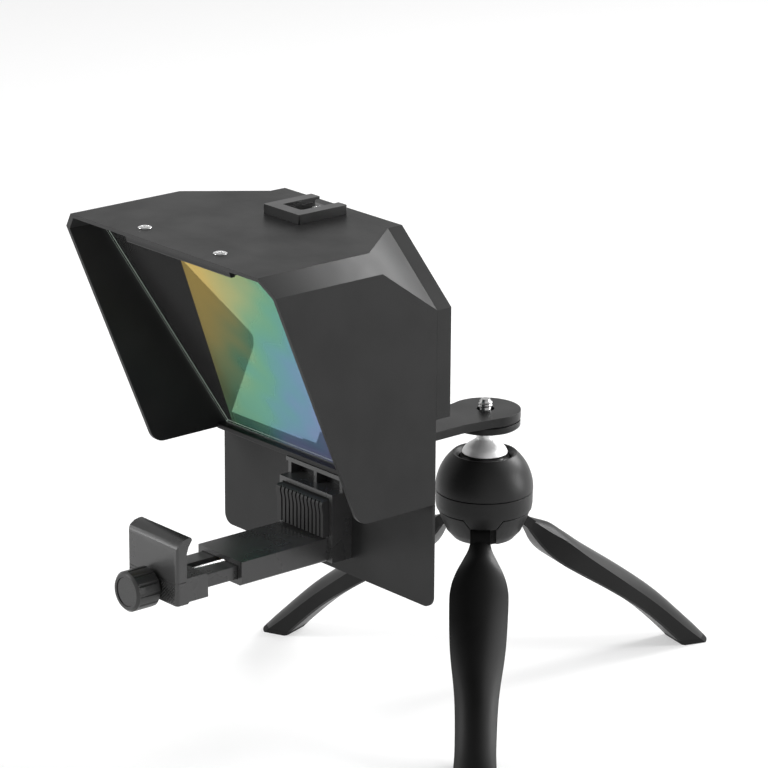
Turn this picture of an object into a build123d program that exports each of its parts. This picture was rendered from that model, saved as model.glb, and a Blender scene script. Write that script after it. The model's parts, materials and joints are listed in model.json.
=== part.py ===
"""Smartphone teleprompter hood with phone clamp and lens ring, on a camera rail and a small tripod.

Millimetres, +Z up. X runs across the hood, -Y faces the reader, +Y faces the camera.
The origin is where the lens axis meets the rear face of the back plate. Every height below is
measured up from the bottom edge of the back plate, and save() moves it to the lens axis.
"""
from build123d import *
import math
import os

os.makedirs("parts", exist_ok=True)

# ---- driving dimensions -------------------------------------------------------------------
hood_width = 142.0
hood_top = 161.0          # top panel above the bottom edge of the back plate
hood_depth = 89.5         # front edge of the top panel in front of the back plate
wing_bottom = 46.8        # lower edge of the side wings
wing_bottom_depth = 41.9  # how far the lower edge of a wing runs forward
wing_corner = 8.0
bevel = 7.5               # 45 degree bevel along both sides of the top panel
facet_width = 31.9        # rear corner facets, across
facet_depth = 31.0        # along the bevel
facet_drop = 28.6         # and down the wing
wall = 2.0
plate_thick = 1.5
lens_height = 99.0        # lens axis above the bottom edge of the plate

glass_tilt = 32.93        # from vertical, top edge forward
glass_thick = 1.1
glass_length = 130.0
glass_foot = (-2.47, 48.7)  # front lower edge, Y and height
shelf_front = -7.2
shelf_top = 48.65
shelf_thick = 2.2

frame_depth = 7.8         # rear frame behind the plate
frame_bottom = 84.4
frame_wall = 2.5
shoe_screw_places = (-16.0, -6.0)

thread_r = 33.5           # M67 lens filter thread
hub_r = 35.0
light_r = 31.5
flange_r = 37.0
retainer_r = 41.0

phone_width = 75.0        # a phone between the jaws at rest
pad_face = -15.9          # rear rubber pad, where it meets the phone
jaw_face = pad_face - phone_width
jaw_half = 17.1
housing_half = 18.0
phone_floor = 19.5        # height of the ledge under the phone
screw_height = 13.2
screw_r = 2.5

tripod_y = 91.8           # tripod axis behind the plate
floor_level = -77.0
rail_top = 52.6
rail_thick = 4.0
rail_half = 12.0
disc_r = 15.9
disc_bottom = 44.4
ball_r = 13.0
ball_height = 23.3
dome_r = 22.2
dome_centre = 15.2
dome_rim = 32.0
dome_bottom = 14.75
body_top = 5.5           # seam between the upper body and the three cheeks
body_bottom = -9.0
core_r = 18.75
tab_bottom = 1.5         # the upper body reaches down over each leg
pivot_radius = 15.0
pivot_height = 2.0
leg_slope = 39.5
first_leg = -42.6         # plan direction of the first leg
leg_half_root = 4.5
leg_offset = -1.2         # each leg bears on one cheek of its slot
slot_half = 5.85
neck_top = 1.6
neck_under = -3.1

fit_gap = 0.05            # running fit, radial


# ---- shape helpers ------------------------------------------------------------------------
def block(x_span, y_span, z_span):
    """A box given by its low and high value on each axis."""
    size = [high - low for low, high in (x_span, y_span, z_span)]
    middle = [(high + low) / 2 for low, high in (x_span, y_span, z_span)]
    return Pos(*middle) * Box(*size)


def rod_y(radius, y_span, x=0.0, z=0.0):
    """A cylinder along Y."""
    length = y_span[1] - y_span[0]
    return Pos(x, sum(y_span) / 2, z) * Rot(90, 0, 0) * Cylinder(radius, length)


def rod_z(radius, z_span, x=0.0, y=0.0):
    """A cylinder along Z."""
    return Pos(x, y, sum(z_span) / 2) * Cylinder(radius, z_span[1] - z_span[0])


def ring_y(outer, inner, y_span, z):
    return rod_y(outer, y_span, z=z) - rod_y(inner, (y_span[0] - 1, y_span[1] + 1), z=z)


def prism_x(points, x_span):
    """A side outline, as (y, z) points, pushed out along X."""
    face = Plane.YZ * make_face(Polyline(*points, close=True))
    return Pos(x_span[0], 0, 0) * extrude(face, x_span[1] - x_span[0], dir=(1, 0, 0))


def prism_y(points, y_span):
    """A front outline, as (x, z) points, pushed out along Y."""
    face = Plane.XZ * make_face(Polyline(*points, close=True))
    return Pos(0, y_span[0], 0) * extrude(face, y_span[1] - y_span[0], dir=(0, 1, 0))


def turned(points, y=0.0):
    """A solid of revolution about the vertical axis at y, from (radius, z) points."""
    face = Plane.XZ * make_face(Polyline(*points, close=True))
    return Pos(0, y, 0) * revolve(face, Axis.Z)


def save(name, shape):
    """Write one sub-part, with the lens axis at height zero."""
    moved = Pos(0, 0, -lens_height) * shape
    solids = moved.solids()
    body = solids[0] if len(solids) == 1 else Compound(children=list(solids))
    export_step(body, f"parts/{name}.step")


# ---- hood ---------------------------------------------------------------------------------
half = hood_width / 2


def facet_cutter(side, inset):
    """Everything outside the slanted facet that cuts the rear upper corner on one side."""
    top_point = Vector(half - facet_width, 0, hood_top)
    bevel_point = Vector(half - bevel, -facet_depth, hood_top)
    low_point = Vector(half, 0, hood_top - facet_drop)
    outward = (bevel_point - top_point).cross(low_point - top_point).normalized()
    if outward.X < 0:
        outward = outward * -1
    start = top_point - outward * inset
    cutter = Plane(origin=start, z_dir=outward) * Pos(0, 0, 60) * Box(240, 240, 120)
    return cutter if side > 0 else mirror(cutter, Plane.YZ)


def hood_block(inset, y_span, bottom):
    """The hood's outline with its bevels and facets, moved inwards by inset."""
    side = half - inset
    top = hood_top - inset
    cut = bevel + inset * (math.sqrt(2) - 2)
    outline = [(-side, bottom), (side, bottom), (side, top - cut), (side - cut, top)]
    outline += [(-side + cut, top), (-side, top - cut)]
    solid = prism_y(outline, y_span)
    return solid - facet_cutter(1, inset) - facet_cutter(-1, inset)


def glass_point(along, behind=0.0):
    """A (y, z) point: along the glass from its foot, and behind its front face."""
    lean = math.radians(glass_tilt)
    y = glass_foot[0] - along * math.sin(lean) + behind * math.cos(lean)
    z = glass_foot[1] + along * math.cos(lean) + behind * math.sin(lean)
    return (y, z)


def glass_slab(along, behind, x_span):
    corners = [glass_point(along[0], behind[0]), glass_point(along[1], behind[0])]
    corners += [glass_point(along[1], behind[1]), glass_point(along[0], behind[1])]
    return prism_x(corners, x_span)


def make_hood():
    shell = hood_block(0, (-hood_depth - 8, 0), wing_bottom)
    side_view = [(0, wing_bottom), (-wing_bottom_depth, wing_bottom), (-hood_depth, hood_top), (0, hood_top)]
    profile = prism_x(side_view, (-half - 1, half + 1))
    low_edges = profile.edges().filter_by(Axis.X).sort_by(Axis.Z)[0:2]
    profile = fillet(low_edges.sort_by(Axis.Y)[0], wing_corner)
    shell = shell & profile
    shell -= hood_block(wall, (-hood_depth - 10, 1), wing_bottom - 5)
    inner = half - wall
    for side in (-1, 1):
        ledge = (side * (inner - 3.5), side * inner)
        seat = glass_slab((14, 118), (glass_thick + 1.1, glass_thick + 2.6), ledge)
        shell += seat
    for x, height in frame_screw_places():
        shell += rod_y(3.6, (-12, -plate_thick - 0.05), x, height)
        shell -= rod_y(1.2, (-8.5, 0), x, height)
    for x in (-25.5, 25.5):
        countersink = turned([(0, -2), (1.5, -2), (1.5, 0), (3.1, 1.3), (3.1, 2), (0, 2)])
        shell -= Pos(x, -78.6, hood_top - 1.2) * countersink
    for y in shoe_screw_places:
        shell -= rod_z(1.2, (hood_top - 3, hood_top + 1), y=y)
    return shell & shell_limit()


def shell_limit():
    """Keeps the screw bosses inside the outline of the hood."""
    return hood_block(0, (-hood_depth - 8, 0), wing_bottom)


def frame_screw_places():
    """Three screws down each side and top of the rear frame, clear of its outer wall."""
    reach = half - wall - 3.2
    top = hood_top - wall - 3.2
    sides = [(side * reach, height) for side in (-1, 1) for height in (95.0, 126.0)]
    return sides + [(-33.0, top), (33.0, top)]


def make_plate():
    upper = hood_block(wall + 0.05, (-plate_thick, 0), wing_bottom - 0.2)
    corner_r = 5.0
    lower = block((-half, half), (-plate_thick, 0), (0, wing_bottom - 0.15))
    corners = lower.edges().filter_by(Axis.Y).sort_by(Axis.Z)[0:2]
    plate = fillet(corners, corner_r) + upper
    plate -= rod_y(hub_r + fit_gap, (-5, 5), z=lens_height)
    for x, height in frame_screw_places():
        plate -= rod_y(1.3, (-5, 5), x, height)
    for x, height in retainer_screw_places():
        plate -= rod_y(0.8, (-5, 5), x, height)
    for x, height in rail_screw_places():
        plate -= rod_y(1.55, (-5, 5), x, height)
    for x, height in housing_screw_places():
        plate -= rod_y(1.3, (-5, 5), x, height)
    return plate


def rear_outline(inset, y_span):
    """The hood's outline at the plate, pushed straight back and moved inwards by inset."""
    side = half - inset
    top = hood_top - inset
    lean = math.atan2(facet_drop, facet_width)
    shoulder = half - facet_width - inset * math.tan(lean / 2)
    hip = hood_top - facet_drop - inset * math.tan((math.pi / 2 - lean) / 2)
    outline = [(-side, frame_bottom), (side, frame_bottom), (side, hip), (shoulder, top)]
    outline += [(-shoulder, top), (-side, hip)]
    return prism_y(outline, y_span)


def make_rear_frame():
    """Inverted U behind the plate, with a flat foot all the way round for its screws."""
    outer = rear_outline(0, (0.0, frame_depth))
    hollow = rear_outline(frame_wall, (2.0, frame_depth + 1))
    window = rear_outline(9.0, (-1, frame_depth + 1))
    frame = outer - hollow - window
    for x, height in frame_screw_places():
        frame -= rod_y(1.3, (-1, 3), x, height)
    return frame


def countersunk_y(x, height, head_y, shank_end, radius, toward=1):
    """A pan head screw along Y: its head stands on head_y, its shank ends at shank_end."""
    head_span = sorted((head_y, head_y + toward * radius * 1.2))
    shank_span = sorted((head_y, shank_end))
    head = rod_y(radius * 1.9, head_span, x, height)
    slot = cross_y(x, height, head_y + toward * radius * 1.2, radius)
    return head + rod_y(radius, shank_span, x, height) - slot


def cross_y(x, height, y, radius):
    """A cross recess, cut into a head face at y."""
    arm = radius * 1.2
    thin = radius * 0.28
    span = (y - radius * 0.6, y + radius * 0.6)
    return block((x - arm, x + arm), span, (height - thin, height + thin)) + block(
        (x - thin, x + thin), span, (height - arm, height + arm))


def cross_z(x, y, z, radius):
    arm = radius * 1.2
    thin = radius * 0.28
    span = (z - radius * 0.6, z + radius * 0.6)
    return block((x - arm, x + arm), (y - thin, y + thin), span) + block(
        (x - thin, x + thin), (y - arm, y + arm), span)


def make_frame_screws():
    screws = [countersunk_y(x, height, 2.0, -8.5, 1.2) for x, height in frame_screw_places()]
    return Compound(children=screws)


def make_brow():
    """Stiffener under the front edge of the top panel; its rear edge holds the top of the glass."""
    under = hood_top - wall
    shelf = block((-26, 44), (-hood_depth + 1.4, -74.6), (under - 2.0, under))
    face = [(-hood_depth + 0.9, under), (-hood_depth + 1.9, under - 2.6)]
    face += [(-hood_depth + 3.9, under - 2.6), (-hood_depth + 3.9, under)]
    brow = shelf + prism_x(face, (-26, 44))
    for x in (-22.4, 25.5):
        brow += rod_z(3.6, (under - 4.0, under), x, -78.6)
    for x in (-25.5, 25.5):
        brow -= rod_z(1.5, (under - 6, under + 1), x, -78.6)
    return brow


def make_brow_screws():
    screws = []
    for x in (-25.5, 25.5):
        head = turned([(0, 0), (1.5, 0), (3.0, 1.3), (3.0, 1.5), (2.2, 1.8), (0, 1.9)])
        head = Pos(x, -78.6, hood_top - 1.2) * head
        shank = rod_z(1.5, (hood_top - 5.0, hood_top - 1.1), x, -78.6)
        screws.append(head + shank - cross_z(x, -78.6, hood_top + 0.7, 1.6))
    return Compound(children=screws)


def make_glass():
    pane = glass_slab((0, glass_length), (0, glass_thick), (-half + wall + 0.8, half - wall - 0.8))
    return pane & hood_block(wall + 0.4, (-hood_depth, -plate_thick), wing_bottom)


def make_seal():
    """Foam tape between the glass and the ledges behind its two side edges."""
    inner = half - wall
    strips = []
    for side in (-1, 1):
        span = sorted((side * (inner - 3.3), side * (inner - 0.8)))
        strips.append(glass_slab((14, 118), (glass_thick, glass_thick + 1.1), span))
    return Compound(children=strips)


def make_shelf():
    span = (shelf_top - shelf_thick, shelf_top)
    lip = block((-half + wall + 0.1, half - wall - 0.1), (shelf_front, -plate_thick), span)
    return lip


def make_shoe():
    """Cold shoe for a microphone or a light, open at the rear."""
    low = hood_top
    shoe = block((-12, 12), (-26, 0.4), (low, low + 4.3))
    uprights = shoe.edges().filter_by(Axis.Z)
    shoe = fillet(uprights, 0.6)
    shoe -= block((-9.35, 9.35), (-22, 1), (low + 1.0, low + 3.1))
    shoe -= block((-6.3, 6.3), (-20, 1), (low + 1.0, low + 5))
    for y in shoe_screw_places:
        shoe -= rod_z(1.2, (low - 1, low + 2), y=y)
    return shoe


def make_shoe_screws():
    screws = []
    for y in shoe_screw_places:
        head = rod_z(2.3, (hood_top + 1.0, hood_top + 1.9), y=y)
        screws.append(head + rod_z(1.2, (hood_top - wall, hood_top + 1.0), y=y)
                      - cross_z(0, y, hood_top + 1.9, 1.2))
    return Compound(children=screws)


# ---- lens ring ----------------------------------------------------------------------------
def retainer_screw_places():
    reach = (flange_r + 0.3 + retainer_r) / 2
    angles = [math.radians(45 + 90 * turn) for turn in range(4)]
    return [(reach * math.cos(a), lens_height + reach * math.sin(a)) for a in angles]


def make_lens_ring():
    """Turning ring: flange inside the hood, hub through the plate, filter thread behind."""
    front = -plate_thick - fit_gap - 1.6
    ring = rod_y(flange_r, (front, -plate_thick - fit_gap), z=lens_height)
    ring += rod_y(hub_r, (-plate_thick - fit_gap, 0.6), z=lens_height)
    ring += rod_y(thread_r, (0.0, 5.0), z=lens_height)
    ring -= rod_y(light_r, (-10, 10), z=lens_height)
    for turn in range(4):
        angle = math.radians(90 * turn)
        reach = light_r + 0.8
        x = reach * math.cos(angle)
        z = lens_height + reach * math.sin(angle)
        ring -= rod_y(1.2, (front - 1, front + 1.2), x, z)
    return ring


def make_retainer():
    front = -plate_thick - 1.9
    retainer = ring_y(retainer_r, flange_r + 0.3, (front, -plate_thick), lens_height)
    retainer += ring_y(retainer_r, flange_r - 2.5, (front - 1.2, front), lens_height)
    for x, height in retainer_screw_places():
        retainer -= rod_y(0.85, (-10, 0), x, height)
    return retainer


def make_retainer_screws():
    front = -plate_thick - 3.1
    screws = [countersunk_y(x, z, front, -0.2, 0.8, toward=-1) for x, z in retainer_screw_places()]
    return Compound(children=screws)


# ---- phone clamp --------------------------------------------------------------------------
nut_y = (-58.0, -52.0)
channel = (10.3, 16.7)
channel_half = 12.3
housing_front = -60.0


def housing_screw_places():
    return [(side * 14.5, height) for side in (-1, 1) for height in (13.5, 30.0)]


def rail_screw_places():
    return [(0.0, 24.0), (0.0, 33.0)]


def make_housing():
    """Fixed half of the clamp: flange and ribs under the shelf, pad box, and rail channel."""
    back = -plate_thick
    flange_top = shelf_top - shelf_thick
    housing = block((-19.5, 19.5), (shelf_front - 0.5, back), (flange_top - 1.9, flange_top))
    for x in (-17.5, 0.0, 17.5):
        housing += block((x - 1, x + 1), (shelf_front, back), (39.0, flange_top - 1.5))
    box = block((-housing_half, housing_half), (-12.5, back), (8.0, 39.2))
    housing += box
    base = block((-15, 15), (housing_front, -12.0), (8.0, 18.8))
    edges = base.edges().filter_by(Axis.Y).sort_by(Axis.Z)[0:2]
    housing += fillet(edges, 1.5)
    housing -= block((-15.9, 15.9), (-13, -6.4), (phone_floor, 37.2))
    housing -= block((-channel_half, channel_half), (housing_front - 1, -3.5), channel)
    for x, height in housing_screw_places():
        housing -= rod_y(1.0, (-3.4, 0), x, height)
    for x, height in rail_screw_places():
        housing -= rod_y(1.5, (-5.9, 0), x, height)
    return housing


def make_housing_screws():
    screws = [countersunk_y(x, z, 0.0, -3.3, 1.0) for x, z in housing_screw_places()]
    return Compound(children=screws)


def make_pad():
    """Ribbed rubber pad with an overhanging top that keeps the phone down."""
    profile = [(-6.4, 20.0), (pad_face + 0.1, 20.0), (pad_face + 0.1, 30.5), (-16.6, 34.6)]
    profile += [(-16.2, 36.0), (-15.0, 36.6), (-6.4, 36.6)]
    pad = prism_x(profile, (-15.8, 15.8))
    pitch = 2.6
    for rib in range(-5, 7):
        x = (rib - 0.5) * pitch
        groove = [(-18, 19), (pad_face + 0.7, 19), (pad_face + 0.7, 30.7), (-15.6, 34.6)]
        groove += [(-15.4, 37.5), (-18, 37.5)]
        pad -= prism_x(groove, (x + 1.45, x + 2.35))
    return pad


def make_nut():
    nut = block((-3.2, 3.2), nut_y, channel)
    return nut - rod_y(screw_r + fit_gap, (-60, -50), z=screw_height)


def make_front_jaw():
    """Sliding half of the clamp: hooked front wall, foot under the phone, two-legged tongue."""
    front = jaw_face - 5.4
    outline = [(jaw_face, phone_floor), (jaw_face, 30.4), (jaw_face + 1.0, 33.4)]
    outline += [(jaw_face + 2.9, 36.2), (jaw_face + 2.4, 37.2), (jaw_face + 1.0, 37.3)]
    outline += [(jaw_face - 1.6, 36.8), (front + 1.5, 35.3), (front + 0.4, 33.6), (front, 31.4)]
    outline += [(front, 8.0), (jaw_face + 0.4, 8.0), (jaw_face + 1.2, 8.8), (-79.7, 8.8)]
    outline += [(-79.7, 18.4), (-80.7, phone_floor)]
    jaw = prism_x(outline, (-jaw_half, jaw_half))
    uprights = jaw.edges().filter_by(Axis.Z).sort_by(Axis.Y)[0:2]
    jaw = fillet(uprights, 1.6)
    seam = block((-20, 20), (front - 1, jaw_face - 0.6), (17.85, 18.2))
    jaw -= seam - block((-jaw_half + 0.3, jaw_half - 0.3), (front + 0.3, jaw_face), (17, 19))
    jaw -= block((-5.2, 5.2), (jaw_face + 0.2, -79), (9.6, 16.9))
    for side in (-1, 1):
        span = sorted((side * 3.6, side * 12.0))
        jaw += block(span, (-81, -22), (10.6, 16.4))
    jaw -= rod_y(screw_r + fit_gap, (-100, -85), z=screw_height)
    return jaw


def make_jaw_pad():
    return block((-14, 14), (jaw_face + 0.05, jaw_face + 0.75), (phone_floor + 0.3, 29.6))


def make_lead_screw():
    screw = rod_y(screw_r, (-104.5, -40.0), z=screw_height)
    groove = ring_y(screw_r + 1, screw_r - 0.5, (jaw_face + 0.35, jaw_face + 1.05), screw_height)
    tip = ring_y(screw_r + 1, screw_r - 0.6, (-40.8, -39.0), screw_height)
    return screw - groove - tip


def make_screw_clip():
    clip = ring_y(screw_r + 0.75, screw_r - 0.45, (jaw_face + 0.4, jaw_face + 1.0), screw_height)
    return clip - block((-1.5, 1.5), (-95, -85), (screw_height - 6, screw_height))


def make_knob():
    """Fluted knob with a recessed front face and a collar that bears on the jaw."""
    rear = -98.2
    front = -110.4
    knob = rod_y(8.8, (front, rear), z=screw_height)
    knob = chamfer(knob.edges().filter_by(GeomType.CIRCLE).sort_by(Axis.Y)[0], 1.1)
    knob = chamfer(knob.edges().filter_by(GeomType.CIRCLE).sort_by(Axis.Y)[-1], 0.6)
    flutes = 12
    for turn in range(flutes):
        angle = 2 * math.pi * turn / flutes
        x = 9.35 * math.cos(angle)
        z = screw_height + 9.35 * math.sin(angle)
        knob -= rod_y(1.0, (front + 1.6, rear + 1), x, z)
    knob += rod_y(6.0, (rear, jaw_face - 5.4 - 0.2), z=screw_height)
    knob -= rod_y(6.4, (front - 1, front + 1.0), z=screw_height)
    knob -= rod_y(screw_r, (-104.5, -90), z=screw_height)
    return knob


def make_knob_cap():
    cap = rod_y(6.35, (-110.0, -109.4), z=screw_height)
    return cap


# ---- camera rail and tripod head ----------------------------------------------------------
def make_rail():
    """Flat bar from the back plate to the tripod, where a camera sits on it."""
    low = rail_top - rail_thick
    bar = block((-rail_half, rail_half), (0, tripod_y), (low, rail_top))
    bar += rod_z(16.0, (low, rail_top), y=tripod_y)
    for side in (-1, 1):
        flare = [(side * rail_half, tripod_y - 24), (side * 16.0, tripod_y), (side * rail_half, tripod_y)]
        face = make_face(Polyline(*flare, close=True))
        bar += Pos(0, 0, low) * extrude(face, rail_thick, dir=(0, 0, 1))
    tab = block((-rail_half, rail_half), (0, 3.0), (20.0, rail_top))
    bar += tab
    gusset = [(3.0, low), (11.0, low), (3.0, low - 10)]
    bar += prism_x(gusset, (-1.5, 1.5))
    bar -= rod_z(4.0, (low - 1, rail_top + 1), y=tripod_y)
    for x, height in rail_screw_places():
        bar -= rod_y(1.55, (-1, 4), x, height)
    return bar


def make_rail_screws():
    screws = [countersunk_y(x, z, 3.0, -5.8, 1.5) for x, z in rail_screw_places()]
    return Compound(children=screws)


def make_disc():
    low = disc_bottom
    top = rail_top - rail_thick - 0.8
    profile = [(4.0, low), (disc_r - 0.8, low), (disc_r, low + 0.8), (disc_r, top), (4.0, top)]
    return turned(profile, tripod_y)


def make_disc_pad():
    top = rail_top - rail_thick
    return turned([(4.2, top - 0.8), (disc_r - 0.9, top - 0.8), (disc_r - 0.9, top), (4.2, top)], tripod_y)


def make_camera_screw():
    """Quarter inch camera screw, standing up out of the ball stem through disc and rail."""
    thread = rod_z(3.175, (rail_top, rail_top + 4.6), y=tripod_y)
    return thread + rod_z(2.8, (disc_bottom - 4, rail_top), y=tripod_y)


def make_ball():
    """Ball with its flared skirt and neck."""
    skirt = [(0, 28), (9.9, 31.8), (10.4, 32.3), (9.6, 33.8), (8.2, 35.4), (5.6, 37.2), (4.1, 38.6)]
    skirt.append((3.7, 40))
    skirt += [(3.7, disc_bottom), (0, disc_bottom)]
    ball = Pos(0, tripod_y, ball_height) * Sphere(ball_r) + turned(skirt, tripod_y)
    ball -= rod_z(2.8, (disc_bottom - 4, disc_bottom + 1), y=tripod_y)
    return ball


def make_dome():
    """Domed locking collar round the ball, with a dished rim."""
    low = dome_bottom
    rim_r = math.sqrt(dome_r ** 2 - (dome_rim - dome_centre) ** 2)
    middle = dome_r * math.sqrt(0.5)
    waist = (dome_r, dome_centre)
    with BuildPart() as dome:
        with BuildSketch(Plane.XZ):
            with BuildLine():
                Line((11.85, 29.6), (rim_r - 0.6, dome_rim - 0.1))
                Line((rim_r - 0.6, dome_rim - 0.1), (rim_r, dome_rim))
                ThreePointArc((rim_r, dome_rim), (middle, dome_centre + middle), waist)
                Polyline(waist, (dome_r, low), (14.6, low), (14.6, 19.0), (11.0, 24.0), (11.85, 29.6))
            make_face()
        revolve(axis=Axis.Z)
    hollow = Sphere(ball_r + 0.35)
    return Pos(0, tripod_y, 0) * (dome.part - Pos(0, 0, ball_height) * hollow)


def make_seat():
    """Cup under the ball; it turns in the body when the head is panned."""
    cup = turned([(4.2, 6.2), (12.0, 6.2), (12.0, 11.0), (14.2, 12.0), (14.2, 18.0), (4.2, 18.0)], tripod_y)
    return cup - Pos(0, tripod_y, ball_height) * Sphere(ball_r + 0.1)


def leg_turns():
    for turn in range(3):
        yield Rot(0, 0, first_leg + 120 * turn)


def tab_prism(grow):
    """The outline over one leg where the upper body reaches down, grown by a gap."""
    lean = 0.727
    top = body_top + 1.5
    low_half = 5.7 + grow
    high_half = low_half + lean * (top - tab_bottom + grow)
    low = tab_bottom - grow
    outline = [(-high_half, top), (-low_half, low), (low_half, low), (high_half, top)]
    return prism_x(outline, (10, 30))


def make_body_ring():
    """Upper body: a band under the dome, with a tab reaching down over each leg."""
    seam = body_top + 0.4
    top = dome_bottom - 0.3
    profile = [(core_r + 0.3, tab_bottom), (20.2, tab_bottom), (21.6, seam), (22.0, 8.5), (22.1, top)]
    profile += [(14.8, top), (14.8, 10.0), (core_r + 0.3, 10.0)]
    between = rod_z(30, (tab_bottom - 1, seam))
    for place in leg_turns():
        between -= place * tab_prism(0)
    return Pos(0, tripod_y, 0) * (turned(profile) - between)


def make_body():
    """Lower body: three cheeks between the leg slots."""
    low = body_bottom
    profile = [(0, low), (9.5, low), (13.8, -7.8), (17.0, -4.2), (19.6, 1.5), (20.9, body_top - 0.4)]
    profile += [(20.5, body_top), (core_r, body_top), (core_r, 9.7), (12.3, 9.7), (12.3, 6.1), (0, 6.1)]
    body = turned(profile)
    body -= rod_z(2.6, (low - 2, 7))
    slot = block((10.2, 30), (-slot_half, slot_half), (-14, pivot_height + 3.6))
    pin_hole = Rot(90, 0, 0) * Cylinder(1.5, 19)
    for place in leg_turns():
        body -= place * slot
        body -= place * tab_prism(0.35) - rod_z(core_r, (-20, 20))
        body -= place * Pos(pivot_radius, 0, pivot_height) * pin_hole
    return Pos(0, tripod_y, 0) * body


def make_pins():
    pin = Rot(90, 0, 0) * Cylinder(1.5, 18.6)
    pins = []
    for turn in range(3):
        place = Pos(0, tripod_y, 0) * Rot(0, 0, first_leg + 120 * turn)
        pins.append(place * Pos(pivot_radius, 0, pivot_height) * pin)
    return Compound(children=pins)


def make_core_bolt():
    low = body_bottom
    bolt = rod_z(2.5, (low, 8.0), y=tripod_y) + rod_z(5.0, (low - 2.4, low), y=tripod_y)
    bolt += rod_z(3.9, (6.2, 9.6), y=tripod_y)
    hexagon = extrude(RegularPolygon(2.0, 6), 1.6)
    return bolt - Pos(0, tripod_y, low - 3.0) * hexagon


# ---- legs ---------------------------------------------------------------------------------
# distance along the leg, half width, underside, side crease, crown
leg_sections = [
    (9.5, 4.5, -3.1, 0.9, 1.7),
    (14, 5.5, -4.6, 1.2, 3.2),
    (20, 8.1, -6.4, 1.5, 5.0),
    (26, 10.6, -7.4, 2.2, 5.4),
    (33, 12.6, -7.6, 2.2, 5.7),
    (42, 13.2, -6.8, 2.2, 6.1),
    (66, 12.3, -4.2, 3.0, 8.0),
    (90, 9.8, -2.8, 3.5, 8.8),
    (114, 9.1, -4.4, 2.6, 7.2),
    (130, 9.4, -6.9, 2.2, 5.5),
    (142.5, 6.6, -6.7, -0.4, 3.0),
]


def leg_section(along, half_width, under, crease, crown):
    """One cross-section: flat underside, leaning sides, crowned outer face."""
    foot = half_width * 0.86
    corners = [(-half_width, crease), (-foot, under), (foot, under), (half_width, crease)]
    outline = Polyline(*corners) + ThreePointArc(corners[3], (0, crown), corners[0])
    plane = Plane(origin=(along, 0, 0), x_dir=(0, 1, 0), z_dir=(1, 0, 0))
    return plane * make_face(outline)


def leg_blank():
    """A leg along +X from its pivot, before the floor cuts its end."""
    blade = loft([leg_section(*row) for row in leg_sections])
    eye = Rot(90, 0, 0) * Cylinder(-neck_under, 2 * leg_half_root)
    neck = block((0, 9.5), (-leg_half_root, leg_half_root), (neck_under, neck_top))
    bore = Rot(90, 0, 0) * Cylinder(1.5 + fit_gap, 20)
    return blade + eye + neck - bore


def leg_places():
    for turn in range(3):
        hub = Pos(0, tripod_y, 0) * Rot(0, 0, first_leg + 120 * turn)
        yield hub * Pos(pivot_radius, leg_offset, pivot_height) * Rot(0, leg_slope, 0)


def make_legs():
    blank = leg_blank()
    pad_top = floor_level + 2.4
    far = 400
    below = block((-far, far), (-far, far), (floor_level - 60, pad_top))
    slab = block((-far, far), (-far, far), (floor_level, pad_top))
    for place, label in zip(leg_places(), ("front", "right", "left")):
        leg = place * blank
        save(f"leg_{label}", leg - below)
        save(f"foot_{label}", leg & slab)


# ---- build --------------------------------------------------------------------------------
save("hood_shell", make_hood())
save("back_plate", make_plate())
save("rear_frame", make_rear_frame())
save("rear_frame_screws", make_frame_screws())
save("front_brow", make_brow())
save("brow_screws", make_brow_screws())
save("beam_splitter_glass", make_glass())
save("glass_foam_tape", make_seal())
save("glass_shelf", make_shelf())
save("cold_shoe", make_shoe())
save("cold_shoe_screws", make_shoe_screws())
save("lens_ring", make_lens_ring())
save("lens_ring_retainer", make_retainer())
save("retainer_screws", make_retainer_screws())
save("clamp_housing", make_housing())
save("clamp_housing_screws", make_housing_screws())
save("rear_jaw_pad", make_pad())
save("clamp_nut", make_nut())
save("front_jaw", make_front_jaw())
save("front_jaw_pad", make_jaw_pad())
save("lead_screw", make_lead_screw())
save("lead_screw_clip", make_screw_clip())
save("clamp_knob", make_knob())
save("clamp_knob_cap", make_knob_cap())
save("camera_rail", make_rail())
save("camera_rail_screws", make_rail_screws())
save("head_disc", make_disc())
save("head_disc_pad", make_disc_pad())
save("camera_screw", make_camera_screw())
save("ball_stem", make_ball())
save("lock_dome", make_dome())
save("ball_seat", make_seat())
save("tripod_ring", make_body_ring())
save("tripod_body", make_body())
save("leg_pins", make_pins())
save("core_bolt", make_core_bolt())
make_legs()
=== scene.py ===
"""Looks of a smartphone teleprompter: grey hood, inclined part-mirror pane, phone clamp, small tripod.

Metres, in the frame of the CAD model: +Y along the lens axis towards the camera, +Z up. Heights
named below are millimetres above the lower edge of the back plate, as in the CAD source.
"""
import json
import math

import bmesh
import bpy
from mathutils import Matrix, Vector

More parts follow.
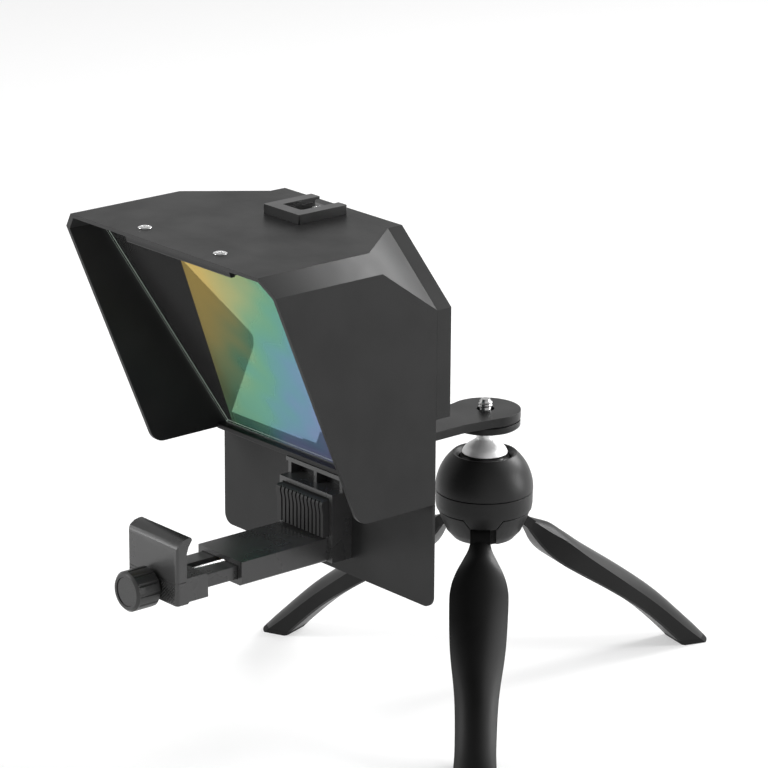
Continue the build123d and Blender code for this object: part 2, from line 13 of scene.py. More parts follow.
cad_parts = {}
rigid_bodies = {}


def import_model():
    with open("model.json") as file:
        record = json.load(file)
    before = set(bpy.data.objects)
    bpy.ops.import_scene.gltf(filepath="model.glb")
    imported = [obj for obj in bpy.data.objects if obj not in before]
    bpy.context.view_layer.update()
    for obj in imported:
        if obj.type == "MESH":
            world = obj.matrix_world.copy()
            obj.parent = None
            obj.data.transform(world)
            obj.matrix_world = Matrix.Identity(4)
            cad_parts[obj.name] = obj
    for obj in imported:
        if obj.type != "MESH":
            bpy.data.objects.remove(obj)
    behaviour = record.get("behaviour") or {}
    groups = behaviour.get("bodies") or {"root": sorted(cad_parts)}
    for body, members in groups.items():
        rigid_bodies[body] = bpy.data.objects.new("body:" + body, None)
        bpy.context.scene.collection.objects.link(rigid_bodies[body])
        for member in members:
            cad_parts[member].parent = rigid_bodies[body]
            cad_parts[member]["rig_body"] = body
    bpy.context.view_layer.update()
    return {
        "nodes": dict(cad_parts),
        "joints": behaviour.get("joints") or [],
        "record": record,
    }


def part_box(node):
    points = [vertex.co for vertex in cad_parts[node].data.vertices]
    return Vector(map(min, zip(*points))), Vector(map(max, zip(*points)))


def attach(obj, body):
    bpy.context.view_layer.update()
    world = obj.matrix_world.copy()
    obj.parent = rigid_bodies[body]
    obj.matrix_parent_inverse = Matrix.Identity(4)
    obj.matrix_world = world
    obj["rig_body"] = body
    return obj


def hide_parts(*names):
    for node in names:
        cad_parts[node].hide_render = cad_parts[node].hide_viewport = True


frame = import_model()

mm = 0.001
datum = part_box("back_plate")[0].z
joints = {joint["name"]: joint for joint in frame["joints"]}
tripod_y = joints["head_tilt"]["pos_m"][1]
screw_axis_z = joints["jaw_slide"]["pos_m"][2]


def level(height):
    """Height in the frame of something given in millimetres above the plate's lower edge."""
    return datum + height * mm


def height_of(z):
    """The reverse of level(): millimetres above the plate's lower edge."""
    return (z - datum) / mm


# ---- materials ----------------------------------------------------------------------------
def new_material(name):
    made = bpy.data.materials.new(name)
    made.use_nodes = True
    return made, made.node_tree.nodes, made.node_tree.links


def noise(nodes, links, vector, scale, detail):
    texture = nodes.new("ShaderNodeTexNoise")
    texture.inputs["Scale"].default_value = scale
    texture.inputs["Detail"].default_value = detail
    links.new(vector, texture.inputs["Vector"])
    return texture.outputs["Fac"]


def fill_ramp(node, stops):
    """Give a colour ramp node its stops, each a position and a colour."""
    elements = node.color_ramp.elements
    for element, (position, colour) in zip(elements, (stops[0], stops[-1])):
        element.position = position
        element.color = (*colour, 1)
    for position, colour in stops[1:-1]:
        elements.new(position).color = (*colour, 1)


def two_tone(nodes, links, factor, dark, light):
    ramp = nodes.new("ShaderNodeValToRGB")
    fill_ramp(ramp, [(0.35, dark), (0.65, light)])
    links.new(factor, ramp.inputs["Fac"])
    return ramp.outputs["Color"]


def spread(nodes, links, factor, low, high):
    ranged = nodes.new("ShaderNodeMapRange")
    ranged.inputs["From Min"].default_value = 0.3
    ranged.inputs["From Max"].default_value = 0.7
    ranged.inputs["To Min"].default_value = low
    ranged.inputs["To Max"].default_value = high
    links.new(factor, ranged.inputs["Value"])
    return ranged.outputs["Result"]


def surface(name, grey, roughness, metallic=0.0, specular=0.5, mottle=0.10, cloud_scale=45.0,
            grain_scale=1500.0, grain_depth=0.00003, stretch=(1, 1, 1)):
    """An opaque material: cloudy base colour, uneven roughness and a fine raised grain."""
    made, nodes, links = new_material(name)
    shader = nodes["Principled BSDF"]
    shader.inputs["Metallic"].default_value = metallic
    shader.inputs["Specular IOR Level"].default_value = specular
    place = nodes.new("ShaderNodeTexCoord")
    mapping = nodes.new("ShaderNodeMapping")
    mapping.inputs["Scale"].default_value = stretch
    links.new(place.outputs["Object"], mapping.inputs["Vector"])
    vector = mapping.outputs["Vector"]
    base = grey if isinstance(grey, tuple) else (grey, grey, grey)
    dark = tuple(c * (1 - mottle) for c in base)
    light = tuple(c * (1 + mottle) for c in base)
    cloud = noise(nodes, links, vector, cloud_scale, 4.0)
    links.new(two_tone(nodes, links, cloud, dark, light), shader.inputs["Base Color"])
    links.new(spread(nodes, links, cloud, roughness - 0.04, roughness + 0.05), shader.inputs["Roughness"])
    bump = nodes.new("ShaderNodeBump")
    bump.inputs["Strength"].default_value = 0.6
    bump.inputs["Distance"].default_value = grain_depth
    links.new(noise(nodes, links, vector, grain_scale, 2.0), bump.inputs["Height"])
    links.new(bump.outputs["Normal"], shader.inputs["Normal"])
    return made


def maths(nodes, links, operation, *values):
    """A Math node; each value is a number or another node's output."""
    node = nodes.new("ShaderNodeMath")
    node.operation = operation
    for entry, value in zip(node.inputs, values):
        if isinstance(value, (int, float)):
            entry.default_value = value
        else:
            links.new(value, entry)
    return node.outputs["Value"]


def socket(sockets, identifier):
    """One of a Mix node's sockets, which share their names and differ in their identifiers."""
    return next(item for item in sockets if item.identifier == identifier)


# the pane's tint, a painted reflection of a phone screen's picture, from its upper left (gold) to its
# lower right (violet)
screen_reflection_stops = [
    (0.12, (0.64, 0.47, 0.16)),
    (0.25, (0.50, 0.45, 0.19)),
    (0.36, (0.26, 0.42, 0.24)),
    (0.46, (0.17, 0.41, 0.27)),
    (0.56, (0.16, 0.38, 0.34)),
    (0.68, (0.18, 0.32, 0.52)),
    (0.86, (0.42, 0.24, 0.50)),
]
tint_per_metre, tint_start = 6.0, 0.16
tint_cloud_scale, tint_cloud_amount = 16.0, 0.5
patch_scale, patch_amount = 60.0, 0.08
clear_tint = (0.50, 0.55, 0.50)
# painted reflection of the left wing's dark inside, on the strip along the pane's left edge
wing_reflection_tint = (0.075, 0.075, 0.075)
# the tint starts where X + wing_reflection_slope * Z passes from the first to the second value of
# wing_reflection_edge, at the reflected front edge of the left wing; left of it wing_reflection_tint
# paints the wing's reflection dark
wing_reflection_slope = -0.466
wing_reflection_edge = (-0.0406, -0.0396)
mirror_share, haze_share = 0.62, 0.30


def coated_glass(name):
    """Part-mirror pane: clear glass, a mirror coating and a thin haze, both tinted alike.

    The tint, a painted reflection of a phone screen's picture, drifts from gold through green and
    blue to violet. A strip along the left edge stays plain dark: a painted reflection of the left wing.
    """
    made, nodes, links = new_material(name)
    nodes.remove(nodes["Principled BSDF"])
    place = nodes.new("ShaderNodeTexCoord").outputs["Object"]
    split = nodes.new("ShaderNodeSeparateXYZ")
    links.new(place, split.inputs["Vector"])
    across = maths(nodes, links, "SUBTRACT", split.outputs["X"], split.outputs["Z"])
    drift = maths(nodes, links, "MULTIPLY_ADD", across, tint_per_metre, tint_start)
    cloud = noise(nodes, links, place, tint_cloud_scale, 2.0)
    patch = noise(nodes, links, place, patch_scale, 0.0)
    clouded = maths(nodes, links, "MULTIPLY_ADD", cloud, tint_cloud_amount, drift)
    ramp = nodes.new("ShaderNodeValToRGB")
    ramp.color_ramp.interpolation = "B_SPLINE"
    fill_ramp(ramp, screen_reflection_stops)
    links.new(maths(nodes, links, "MULTIPLY_ADD", patch, patch_amount, clouded), ramp.inputs["Fac"])

    # 0 on the left wing's painted reflection, 1 on the screen's painted reflection
    tinted = nodes.new("ShaderNodeMapRange")
    tinted.interpolation_type = "SMOOTHSTEP"
    tinted.inputs["From Min"].default_value, tinted.inputs["From Max"].default_value = wing_reflection_edge
    lean = maths(nodes, links, "MULTIPLY_ADD", split.outputs["Z"], wing_reflection_slope, split.outputs["X"])
    links.new(lean, tinted.inputs["Value"])
    tint = nodes.new("ShaderNodeMix")
    tint.data_type = "RGBA"
    socket(tint.inputs, "A_Color").default_value = (*wing_reflection_tint, 1)
    links.new(tinted.outputs["Result"], socket(tint.inputs, "Factor_Float"))
    links.new(ramp.outputs["Color"], socket(tint.inputs, "B_Color"))
    colour = socket(tint.outputs, "Result_Color")

    clear = nodes.new("ShaderNodeBsdfTransparent")
    clear.inputs["Color"].default_value = (*clear_tint, 1)
    mirror = nodes.new("ShaderNodeBsdfGlossy")
    mirror.inputs["Roughness"].default_value = 0.02
    links.new(colour, mirror.inputs["Color"])
    haze = nodes.new("ShaderNodeBsdfDiffuse")
    links.new(colour, haze.inputs["Color"])
    coated = nodes.new("ShaderNodeMixShader")
    coated.inputs["Fac"].default_value = mirror_share
    links.new(clear.outputs["BSDF"], coated.inputs[1])
    links.new(mirror.outputs["BSDF"], coated.inputs[2])
    veiled = nodes.new("ShaderNodeMixShader")
    veiled.inputs["Fac"].default_value = haze_share
    links.new(coated.outputs["Shader"], veiled.inputs[1])
    links.new(haze.outputs["BSDF"], veiled.inputs[2])
    links.new(veiled.outputs["Shader"], nodes["Material Output"].inputs["Surface"])
    return made


def glow(material, colour, strength):
    """Let a surface() material give off light of its own."""
    shader = material.node_tree.nodes["Principled BSDF"]
    shader.inputs["Emission Color"].default_value = (*colour, 1)
    shader.inputs["Emission Strength"].default_value = strength


looks = {
    "hood_plastic": surface("hood_plastic_look", 0.015, 0.42, specular=0.15),
    "black_plastic": surface("black_plastic_look", 0.010, 0.45, specular=0.28),
    "clamp_plastic": surface("clamp_plastic_look", 0.030, 0.28, specular=0.55, grain_depth=0.00002),
    "knob_plastic": surface("knob_plastic_look", 0.020, 0.36, specular=0.40, grain_depth=0.00001),
    "knob_cap": surface("knob_cap_look", 0.012, 0.20, specular=0.5, grain_depth=0.00001),
    "black_metal": surface("black_metal_look", 0.010, 0.30, specular=0.35, grain_depth=0.00001),
    "black_screws": surface("black_screw_look", 0.02, 0.35, metallic=0.5),
    "bright_screws": surface("nickel_look", 0.72, 0.22, metallic=1.0, mottle=0.05, grain_depth=0.000004),
    "foam": surface("foam_look", 0.012, 0.9, specular=0.1, grain_scale=2500, grain_depth=0.0001),
    "black_aluminium": surface("black_anodised_look", 0.008, 0.36, metallic=0.1, specular=0.22),
    "pad_rubber": surface("pad_rubber_look", 0.015, 0.60, specular=0.3, grain_depth=0.00004),
    "foot_rubber": surface("foot_rubber_look", 0.010, 0.75, specular=0.15, grain_depth=0.00006),
    "brass_nut": surface("brass_look", (0.60, 0.42, 0.16), 0.30, metallic=1.0, grain_depth=0.00001),
    "steel_rod": surface("steel_look", 0.45, 0.28, metallic=1.0, grain_depth=0.00001),
    "ball_steel": surface("turned_steel_look", 0.85, 0.40, metallic=0.35, mottle=0.05,
                          stretch=(0.2, 0.2, 6), grain_scale=700, grain_depth=0.00002),
    "tripod_aluminium": surface("tripod_look", 0.004, 0.38, specular=0.20, grain_scale=2200,
                                grain_depth=0.00002),
    "beam_splitter": coated_glass("beam_splitter_look"),
}
# a lighter copy of the tripod look for the head: painted light, lifting the head against the legs
lit_tripod_head_look = surface("lit_tripod_head_look", 0.010, 0.42, specular=0.22, grain_scale=2200,
                           grain_depth=0.00002)
# the pane's ground edge: pale and glowing, a painted highlight standing in for light carried through the
# glass
glowing_edge_highlight = surface("glass_edge_look", (0.80, 0.88, 0.84), 0.30, specular=1.0, mottle=0.15)
glow(glowing_edge_highlight, (0.92, 1.0, 0.96), 1.4)

# ---- CAD nodes: welded, flat faces joined, edges rounded, shaded smooth --------------------
weld_distance = 0.002 * mm

# how far each node's edges are rounded, in mm
edge_rounding = {
    "hood_shell": 0.45, "back_plate": 0.35, "rear_frame": 0.45, "front_brow": 0.25, "glass_shelf": 0.25,
    "cold_shoe": 0.30, "lens_ring_retainer": 0.25, "clamp_housing": 0.35, "front_jaw": 0.45,
    "rear_jaw_pad": 0.20, "front_jaw_pad": 0.15, "clamp_knob": 0.25, "clamp_knob_cap": 0.12,
    "camera_rail": 0.40, "head_disc_pad": 0.15, "tripod_body": 0.30, "tripod_ring": 0.25,
    "clamp_nut": 0.15, "rear_frame_screws": 0.12, "retainer_screws": 0.10, "cold_shoe_screws": 0.12,
    "brow_screws": 0.10, "clamp_housing_screws": 0.12, "camera_rail_screws": 0.15, "core_bolt": 0.20,
    "leg_pins": 0.15, "ball_seat": 0.20, "lead_screw_clip": 0.05, "glass_foam_tape": 0.10,
    "beam_splitter_glass": 0.22,
}


def dress(node, rounding):
    """Give a CAD node its material, rounded edges and smooth shading; its mesh stays as packed."""
    piece = frame["nodes"][node]
    mesh = piece.data
    for attribute in ("custom_normal", "sharp_edge", "sharp_face"):
        if attribute in mesh.attributes:
            mesh.attributes.remove(mesh.attributes[attribute])
    mesh.materials.clear()
    mesh.materials.append(looks[slot_of[node]])
    mesh.shade_smooth()
    weld = piece.modifiers.new("weld", "WELD")
    weld.merge_threshold = weld_distance
    flat = piece.modifiers.new("join_flat_faces", "DECIMATE")
    flat.decimate_type = "DISSOLVE"
    flat.angle_limit = math.radians(0.6)
    bevel = piece.modifiers.new("rounded_edges", "BEVEL")
    bevel.width = rounding * mm
    bevel.segments = 2
    bevel.limit_method = "ANGLE"
    bevel.angle_limit = math.radians(32)
    normals = piece.modifiers.new("weighted_normals", "WEIGHTED_NORMAL")
    normals.keep_sharp = True


slot_of = {part["node"]: part["material_slot"] for part in frame["record"]["subparts"]}
for node, rounding in edge_rounding.items():
    dress(node, rounding)
# the head's pieces take the lighter copy of the tripod look, painted light
for node in ("tripod_body", "tripod_ring"):
    frame["nodes"][node].data.materials[0] = lit_tripod_head_look

pane = frame["nodes"]["beam_splitter_glass"]
pane.data.materials.append(glowing_edge_highlight)
pane.modifiers["rounded_edges"].segments = 1
pane.modifiers["rounded_edges"].material = 1  # the ground edge, with its glowing painted highlight


# ---- helpers for hand-made pieces ---------------------------------------------------------
def piece_from(name, vertices, faces, material, smooth_angle=35.0):
    """A new object with smooth faces and sharp edges where they meet at more than an angle."""
    mesh = bpy.data.meshes.new(name)
    mesh.from_pydata([tuple(v) for v in vertices], [], faces)
    mesh.validate()
    welded = bmesh.new()
    welded.from_mesh(mesh)
    bmesh.ops.remove_doubles(welded, verts=welded.verts, dist=weld_distance)
    bmesh.ops.recalc_face_normals(welded, faces=welded.faces)
    welded.to_mesh(mesh)
    welded.free()
    mesh.shade_smooth()
    mesh.set_sharp_from_angle(angle=math.radians(smooth_angle))
    mesh.materials.append(material)
    made = bpy.data.objects.new(name, mesh)
    bpy.context.scene.collection.objects.link(made)
    return made


def stand_for(made, body, slot, *nodes):
    """Put a hand-made piece on its body, in place of any CAD node that it shows in more detail."""
    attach(made, body)
    if nodes:
        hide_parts(*nodes)


def rounded(points, radius, steps=4):
    """A closed outline with each corner replaced by a short curve."""
    result = []
    count = len(points)
    for index in range(count):
        corner = Vector(points[index])
        before = Vector(points[index - 1]) - corner
        after = Vector(points[(index + 1) % count]) - corner
        reach = min(radius, before.length * 0.45, after.length * 0.45)
        start = corner + before.normalized() * reach
        end = corner + after.normalized() * reach
        for step in range(steps + 1):
            t = step / steps
            result.append(start * (1 - t) ** 2 + corner * 2 * t * (1 - t) + end * t ** 2)
    return result


def catmull_rom(a, b, c, d, t):
    """The value a fraction t of the way from b to c, smooth across the neighbours a and d."""
    cubic = 3 * b - a - 3 * c + d
    square = 2 * a - 5 * b + 4 * c - d
    return 0.5 * (2 * b + (c - a) * t + square * t ** 2 + cubic * t ** 3)


def curve_through(points, steps):
    """Smooth rows through a list of rows of numbers, ends included."""
    padded = [points[0], *points, points[-1]]
    result = []
    for index in range(1, len(padded) - 2):
        near = padded[index - 1:index + 3]
        for step in range(steps):
            result.append([catmull_rom(*column, step / steps) for column in zip(*near)])
    result.append(list(points[-1]))
    return result


def tube_faces(rings, count, closed=False, start=0):
    """Quads between successive rings of count points, and back to the first ring if closed."""
    faces = []
    for ring in range(rings if closed else rings - 1):
        near = start + ring * count
        far = start + (ring + 1) % rings * count
        for index in range(count):
            following = (index + 1) % count
            faces.append((near + index, near + following, far + following, far + index))
    return faces


def turned(outline, segments=128):
    """Vertices and faces of a closed (radius, height) outline in mm turned about the tripod axis."""
    vertices = []
    for segment in range(segments):
        angle = 2 * math.pi * segment / segments
        for radius, height in outline:
            x = radius * mm * math.cos(angle)
            y = tripod_y + radius * mm * math.sin(angle)
            vertices.append((x, y, level(height)))
    return vertices, tube_faces(segments, len(outline), True)


def turned_y(outline, height, segments=144):
    """The same about an axis along Y at a height in metres, from (radius, y) points in mm."""
    vertices = []
    for segment in range(segments):
        angle = 2 * math.pi * segment / segments
        for radius, y in outline:
            x = radius * mm * math.cos(angle)
            vertices.append((x, y * mm, height + radius * mm * math.sin(angle)))
    return vertices, tube_faces(segments, len(outline), True)


def thread_ridge(centre, axis, root, crest, pitch, start, end, steps=40):
    """A helical ridge in mm about an axis: a blunt triangle in section, fading out at both ends."""
    axis = Vector(axis)
    side = axis.orthogonal().normalized()
    up = axis.cross(side)
    total = int((end - start) / pitch * steps)
    sunk = root - 0.1
    vertices = []
    for step in range(total + 1):
        angle = 2 * math.pi * step / steps
        along = start + pitch * step / steps
        fade = min(1.0, step / steps * 2, (total - step) / steps * 2)
        top = root + (crest - root) * fade
        out = side * math.cos(angle) + up * math.sin(angle)
        for radius, shift in ((sunk, -0.42), (top, -0.06), (top, 0.06), (sunk, 0.42)):
            vertices.append(Vector(centre) + out * radius * mm + axis * (along + shift * pitch) * mm)
    faces = tube_faces(total + 1, 4)
    faces.append((0, 1, 2, 3))
    faces.append(tuple(total * 4 + index for index in (3, 2, 1, 0)))
    return vertices, faces


def merged(*parts):
    """Several meshes' vertices and faces as one list of each."""
    vertices = []
    faces = []
    for part_vertices, part_faces in parts:
        start = len(vertices)
        vertices.extend(part_vertices)
        faces.extend(tuple(index + start for index in face) for face in part_faces)
    return vertices, faces


def body_of(node):
    """The name of the body that a CAD node belongs to."""
    return frame["nodes"][node]["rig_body"]


def arc(centre, radius, first, last, steps):
    """Points of an arc in an outline, between two angles in degrees."""
    angles = [math.radians(first + (last - first) * step / steps) for step in range(steps + 1)]
    return [(centre[0] + radius * math.cos(a), centre[1] + radius * math.sin(a)) for a in angles]


# ---- tripod head --------------------------------------------------------------------------
# outlines are (radius, height) pairs in mm
dome_centre = (0.0, 15.2)
dome_radius = 22.2
dome_outline = [(11.9, 29.7), (13.0, 31.2), (13.6, 31.75), (14.1, 31.95)]
dome_outline += arc(dome_centre, dome_radius, 49.0, 0.0, 24)
dome_outline += [(22.2, 14.95), (22.0, 14.75), (14.6, 14.75), (14.6, 17.0), (13.6, 22.0), (13.1, 26.0)]
dome = piece_from("lock_dome_turned", *turned(dome_outline), lit_tripod_head_look)
stand_for(dome, body_of("lock_dome"), "tripod_aluminium", "lock_dome")

disc_low, disc_high = (height_of(corner.z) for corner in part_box("head_disc"))
ball_centre, ball_radius, skirt_low = (0.0, 23.3), 13.0, 31.9
skirt = curve_through([(10.35, 32.3), (9.6, 33.8), (8.2, 35.4), (5.6, 37.2), (4.1, 38.6), (3.7, 40.0)], 5)
ball_outline = arc(ball_centre, ball_radius, -90, 37, 36) + [(10.3, 32.1)] + skirt
ball_outline += [(3.7, disc_low), (0.0, disc_low)]
ball = piece_from("ball_turned", *turned(ball_outline), looks["ball_steel"], 50)
# the ball is made dark below the skirt's rim, in the gap between the skirt and the dome
ball.data.materials.append(looks["black_metal"])
for face in ball.data.polygons:
    if face.center.z < level(skirt_low):
        face.material_index = 1
stand_for(ball, body_of("ball_stem"), "ball_steel", "ball_stem")

disc_outline = [(4.0, disc_low), (14.9, disc_low), (15.9, disc_low + 0.9)]
disc_outline += [(15.9, disc_high), (4.0, disc_high)]
disc = piece_from("head_disc_turned", *turned(rounded(disc_outline, 0.3)), looks["black_aluminium"])
stand_for(disc, body_of("head_disc"), "black_aluminium", "head_disc")

screw_low, screw_high = (height_of(corner.z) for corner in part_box("camera_screw"))
rail_top = height_of(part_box("camera_rail")[1].z)
screw_root, screw_crest, screw_pitch = 2.65, 3.175, 1.27
screw_outline = [(0.0, screw_low), (screw_root, screw_low), (screw_root, screw_high - 1.0)]
screw_outline += [(2.0, screw_high), (0.0, screw_high)]
screw_core = turned(screw_outline, 48)
screw_turns = thread_ridge((0, tripod_y, datum), (0, 0, 1), screw_root, screw_crest, screw_pitch,
                           rail_top + 0.4, screw_high - 0.9)
camera_screw = piece_from("camera_screw_threaded", *merged(screw_core, screw_turns), looks["steel_rod"])
stand_for(camera_screw, body_of("camera_screw"), "steel_rod", "camera_screw")

# ---- legs ---------------------------------------------------------------------------------
# distance along the leg, half width, underside, side crease, crown, all in mm
leg_sections = [
    (9.5, 4.5, -3.1, 0.9, 1.7),
    (14, 5.5, -4.6, 1.2, 3.2),
    (20, 8.1, -6.4, 1.5, 5.0),
    (26, 10.6, -7.4, 2.2, 5.4),
    (33, 12.6, -7.6, 2.2, 5.7),
    (42, 13.2, -6.8, 2.2, 6.1),
    (66, 12.3, -4.2, 3.0, 8.0),
    (90, 9.8, -2.8, 3.5, 8.8),
    (114, 9.1, -4.4, 2.6, 7.2),
    (130, 9.4, -6.9, 2.2, 5.5),
    (142.5, 6.6, -6.7, -0.4, 3.0),
]
neck_half, neck_top, neck_end, eye_radius = 4.5, 1.6, 10.5, 3.1
leg_offset = -1.2  # mm to one side of its slot
leg_slope = math.radians(39.5)
foot_thickness = 2.4 * mm
crown_steps = 16
under_share, side_share = 0.86, 0.99  # widths of the underside and of the sides, of the half width


def leg_ring(along, half_width, under, crease, crown):
    """One section of a leg: flat underside, leaning sides and a crowned outer face."""
    points = []
    for step in range(crown_steps + 1):
        t = step / crown_steps * 2 - 1
        points.append((t * half_width, crown - (crown - crease) * t ** 2))
    foot = half_width * under_share
    side = half_width * side_share
    points += [(side, crease - 0.5), (foot + 0.5, under + 0.8), (foot - 0.8, under)]
    points += [(-foot + 0.8, under), (-foot - 0.5, under + 0.8), (-side, crease - 0.5)]
    return [(along, y, z) for y, z in points]


def cut_at(vertices, faces, height, keep_above):
    """The mesh above or below a level plane, closed across the cut."""
    shape = bmesh.new()
    made = [shape.verts.new(v) for v in vertices]
    for face in faces:
        shape.faces.new([made[index] for index in face])
    geometry = list(shape.verts) + list(shape.edges) + list(shape.faces)
    cut = bmesh.ops.bisect_plane(shape, geom=geometry, plane_co=(0, 0, height), plane_no=(0, 0, 1),
                                 clear_inner=keep_above, clear_outer=not keep_above)
    edges = [item for item in cut["geom_cut"] if isinstance(item, bmesh.types.BMEdge)]
    bmesh.ops.contextual_create(shape, geom=edges)
    shape.verts.index_update()
    new_vertices = [v.co.copy() for v in shape.verts]
    new_faces = [tuple(v.index for v in face.verts) for face in shape.faces]
    shape.free()
    return new_vertices, new_faces


def leg_mesh():
    rings = [leg_ring(*row) for row in curve_through(leg_sections, 6)]
    count = len(rings[0])
    vertices = [point for ring in rings for point in ring]
    faces = tube_faces(len(rings), count)
    faces.append(tuple(range(count)))
    faces.append(tuple(reversed(range(len(vertices) - count, len(vertices)))))
    return vertices, faces


def eye_mesh():
    """The leg's root: a round eye on its pin, and the neck that joins it to the blade."""
    first = math.degrees(math.asin(neck_top / eye_radius))
    outline = arc((0, 0), eye_radius, first, 270, 24) + [(neck_end, -eye_radius), (neck_end, neck_top)]
    vertices = [(x, side * neck_half, z) for side in (-1, 1) for x, z in outline]
    count = len(outline)
    faces = [tuple(reversed(range(count))), tuple(range(count, 2 * count))]
    return vertices, faces + tube_faces(2, count)


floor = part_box("foot_front")[0].z
for label in ("front", "right", "left"):
    joint = joints[f"leg_{label}_fold"]
    across = Vector(joint["axis"]).normalized()
    outward = Vector((across.y, -across.x, 0))
    along = outward * math.cos(leg_slope) - Vector((0, 0, 1)) * math.sin(leg_slope)
    crown = along.cross(across)
    turn = Matrix((along, across, crown)).transposed()
    root = Vector(joint["pos_m"]) + across * leg_offset * mm
    place = Matrix.Translation(root) @ turn.to_4x4() @ Matrix.Scale(mm, 4)
    blade, faces = leg_mesh()
    blade = [place @ Vector(v) for v in blade]
    eye, eye_faces = eye_mesh()
    eye = [place @ Vector(v) for v in eye]
    upper = cut_at(blade, faces, floor + foot_thickness, True)
    lower = cut_at(*cut_at(blade, faces, floor + foot_thickness, False), floor, True)
    shape = merged(upper, (eye, eye_faces))
    leg = piece_from(f"leg_{label}_shaped", *shape, looks["tripod_aluminium"], 28)
    stand_for(leg, f"leg_{label}", "tripod_aluminium", f"leg_{label}")
    foot = piece_from(f"foot_{label}_shaped", *lower, looks["foot_rubber"])
    stand_for(foot, f"leg_{label}", "foot_rubber", f"foot_{label}")

# ---- lens ring ----------------------------------------------------------------------------
lens_axis_z = 0.0
ring_bore, groove_radius = 31.5, 31.85
thread_root, thread_crest, thread_pitch = 33.1, 33.5, 0.75
ring_profile = [(ring_bore, -3.15), (36.7, -3.15), (37.0, -2.85), (37.0, -1.55), (35.0, -1.55)]
ring_profile += [(35.0, 0.55), (thread_root, 0.6), (thread_root, 4.7), (32.8, 5.0), (31.8, 5.0)]
ring_profile.append((ring_bore, 4.7))
for groove in range(5):
    y = 3.9 - groove * 0.9
    ring_profile += [(ring_bore, y), (groove_radius, y - 0.15)]
    ring_profile += [(groove_radius, y - 0.35), (ring_bore, y - 0.5)]
ring_threads = thread_ridge((0, 0, lens_axis_z), (0, 1, 0), thread_root, thread_crest, thread_pitch,
                            1.1, 4.6, 96)
lens_ring = piece_from("lens_ring_threaded", *merged(turned_y(ring_profile, lens_axis_z), ring_threads),
                       looks["black_aluminium"], 30)
stand_for(lens_ring, body_of("lens_ring"), "black_aluminium", "lens_ring")

# ---- phone clamp --------------------------------------------------------------------------
rod_start, rod_end = (corner.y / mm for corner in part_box("lead_screw"))
rod_root, rod_crest, rod_pitch, thread_start = 2.05, 2.5, 1.0, -88.0
rod_profile = [(0.0, rod_start), (rod_root, rod_start), (rod_root, rod_end - 0.6)]
rod_profile += [(1.5, rod_end), (0.0, rod_end)]
rod_core = turned_y(rod_profile, screw_axis_z, 48)
rod_thread = thread_ridge((0, 0, screw_axis_z), (0, 1, 0), rod_root, rod_crest, rod_pitch,
                          thread_start, rod_end - 1.2, 32)
rod = piece_from("lead_screw_threaded", *merged(rod_core, rod_thread), looks["steel_rod"])
stand_for(rod, body_of("lead_screw"), "steel_rod", "lead_screw")

face_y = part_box("front_jaw")[0].y / mm
grip_half, grip_low, grip_high = 15.2, 9.0, 17.2
stud_pitch, stud_radius, stud_tip, stud_rise, stud_sunk = 1.5, 0.42, 0.45, 0.34, 0.05
knob_clearance = 6.7
stud_corners = 6


def stud(x, z, start):
    """One six-sided stud on the jaw's front face, its vertices numbered from start."""
    vertices = []
    for radius, y in ((stud_radius, stud_sunk), (stud_radius * stud_tip, -stud_rise)):
        for corner in range(stud_corners):
            angle = 2 * math.pi / stud_corners * corner
            vertices.append(((x + radius * math.cos(angle)) * mm, (face_y + y) * mm,
                             level(z) + radius * math.sin(angle) * mm))
    tip = start + stud_corners
    faces = [tuple(tip + corner for corner in range(stud_corners))]
    faces.append(tuple(start + corner for corner in reversed(range(stud_corners))))
    return vertices, faces + tube_faces(2, stud_corners, start=start)


def grip_dots():
    """A lattice of small studs on the lower front face of the sliding jaw, clear of its knob."""
    vertices = []
    faces = []
    rows = int((grip_high - grip_low) / (stud_pitch / 2))
    columns = int(2 * grip_half / stud_pitch)
    for row in range(rows + 1):
        z = grip_low + row * stud_pitch / 2
        for column in range(columns + 1):
            x = -grip_half + column * stud_pitch + (row % 2) * stud_pitch / 2
            if abs(x) > grip_half or math.hypot(x, z - height_of(screw_axis_z)) < knob_clearance:
                continue
            new_vertices, new_faces = stud(x, z, len(vertices))
            vertices += new_vertices
            faces += new_faces
    return vertices, faces


dots = piece_from("front_jaw_grip_dots", *grip_dots(), looks["clamp_plastic"], 20)
stand_for(dots, body_of("front_jaw"), "clamp_plastic")

# ---- stage, light and camera --------------------------------------------------------------
ground_look = surface("ground_look", 0.62, 0.9, specular=0.1, mottle=0.004, grain_depth=0.0)
glow(ground_look, (1, 1, 1), 0.42)
ground_half = 9
corners = [(x * ground_half, y * ground_half, floor) for x, y in ((-1, -1), (1, -1), (1, 1), (-1, 1))]
ground = piece_from("ground", corners, [(0, 1, 2, 3)], ground_look)

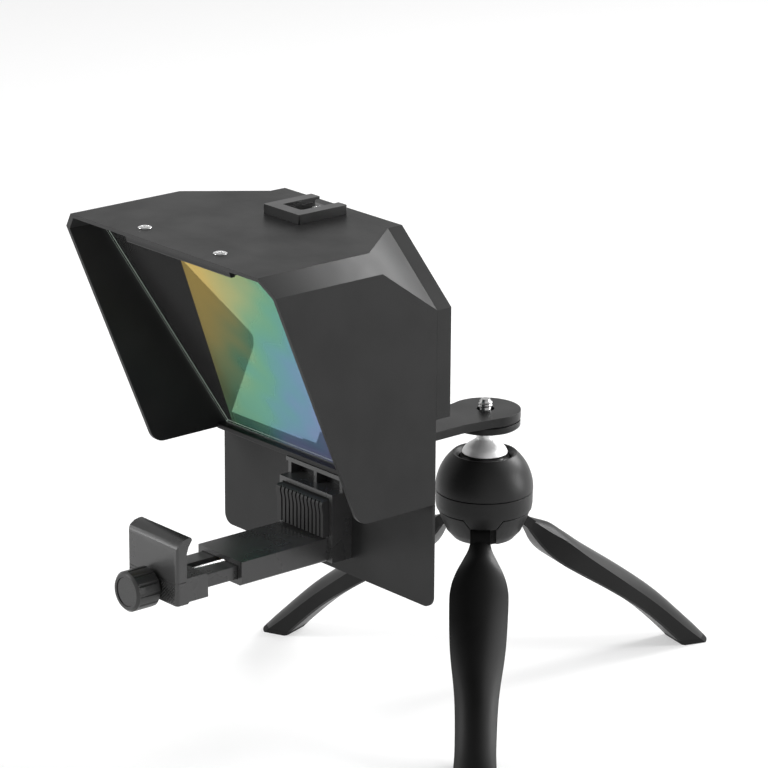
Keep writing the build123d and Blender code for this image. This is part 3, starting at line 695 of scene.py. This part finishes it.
world = bpy.data.worlds.new("studio")
world.use_nodes = True
bpy.context.scene.world = world
sky = world.node_tree
backdrop = sky.nodes["Background"]
backdrop.inputs["Color"].default_value = (1, 1, 1, 1)
direction = sky.nodes.new("ShaderNodeTexCoord")
parts = sky.nodes.new("ShaderNodeSeparateXYZ")
sky.links.new(direction.outputs["Generated"], parts.inputs["Vector"])
fall = sky.nodes.new("ShaderNodeValToRGB")
sky_strengths = [(0.0, 0.99), (0.3, 0.86), (0.55, 0.61), (0.8, 0.33), (1.0, 0.15)]  # horizon to zenith
fill_ramp(fall, [(height, (strength, strength, strength)) for height, strength in sky_strengths])
sky.links.new(parts.outputs["Z"], fall.inputs["Fac"])
sky.links.new(fall.outputs["Color"], backdrop.inputs["Strength"])


def softbox(name, place, aim, size, power):
    """A rectangular lamp at a place, turned towards its aim; metres and watts."""
    lamp = bpy.data.lights.new(name, "AREA")
    lamp.shape = "RECTANGLE"
    lamp.size, lamp.size_y = size
    lamp.energy = power
    stand = bpy.data.objects.new(name, lamp)
    stand.location = place
    stand.rotation_euler = (Vector(aim) - Vector(place)).to_track_quat("-Z", "Y").to_euler()
    bpy.context.scene.collection.objects.link(stand)


softbox("key_softbox", (0.55, 0.75, 0.95), (0, 0, 0), (0.7, 0.7), 2.5)
softbox("rear_softbox", (0.10, 1.50, 0.75), (0, 0, 0), (0.5, 0.5), 19.0)
softbox("side_softbox", (0.95, 1.20, 0.24), (0, 0.09, -0.08), (0.30, 0.7), 14.0)
softbox("front_softbox", (-0.9, -1.3, 0.55), (0, 0, -0.05), (0.5, 0.7), 19.0)

azimuth, elevation, roll = (math.radians(value) for value in (49.48, 17.78, 0.37))
aim = Vector((-0.0026, 0.0340, -0.0239))
distance = 1.71465
back = Vector((math.sin(azimuth) * math.cos(elevation), -math.cos(azimuth) * math.cos(elevation),
               math.sin(elevation)))
lens = bpy.data.cameras.new("camera")
lens.sensor_width = 36
lens.lens = 183.15
lens.clip_start = 0.05
lens.clip_end = 60
camera = bpy.data.objects.new("camera", lens)
camera.location = aim + back * distance
camera.rotation_mode = "QUATERNION"
level_view = (-back).to_track_quat("-Z", "Y")
camera.rotation_quaternion = level_view @ Matrix.Rotation(roll, 3, "Z").to_quaternion()
bpy.context.scene.collection.objects.link(camera)
bpy.context.scene.camera = camera
bpy.context.scene.view_settings.view_transform = "Standard"
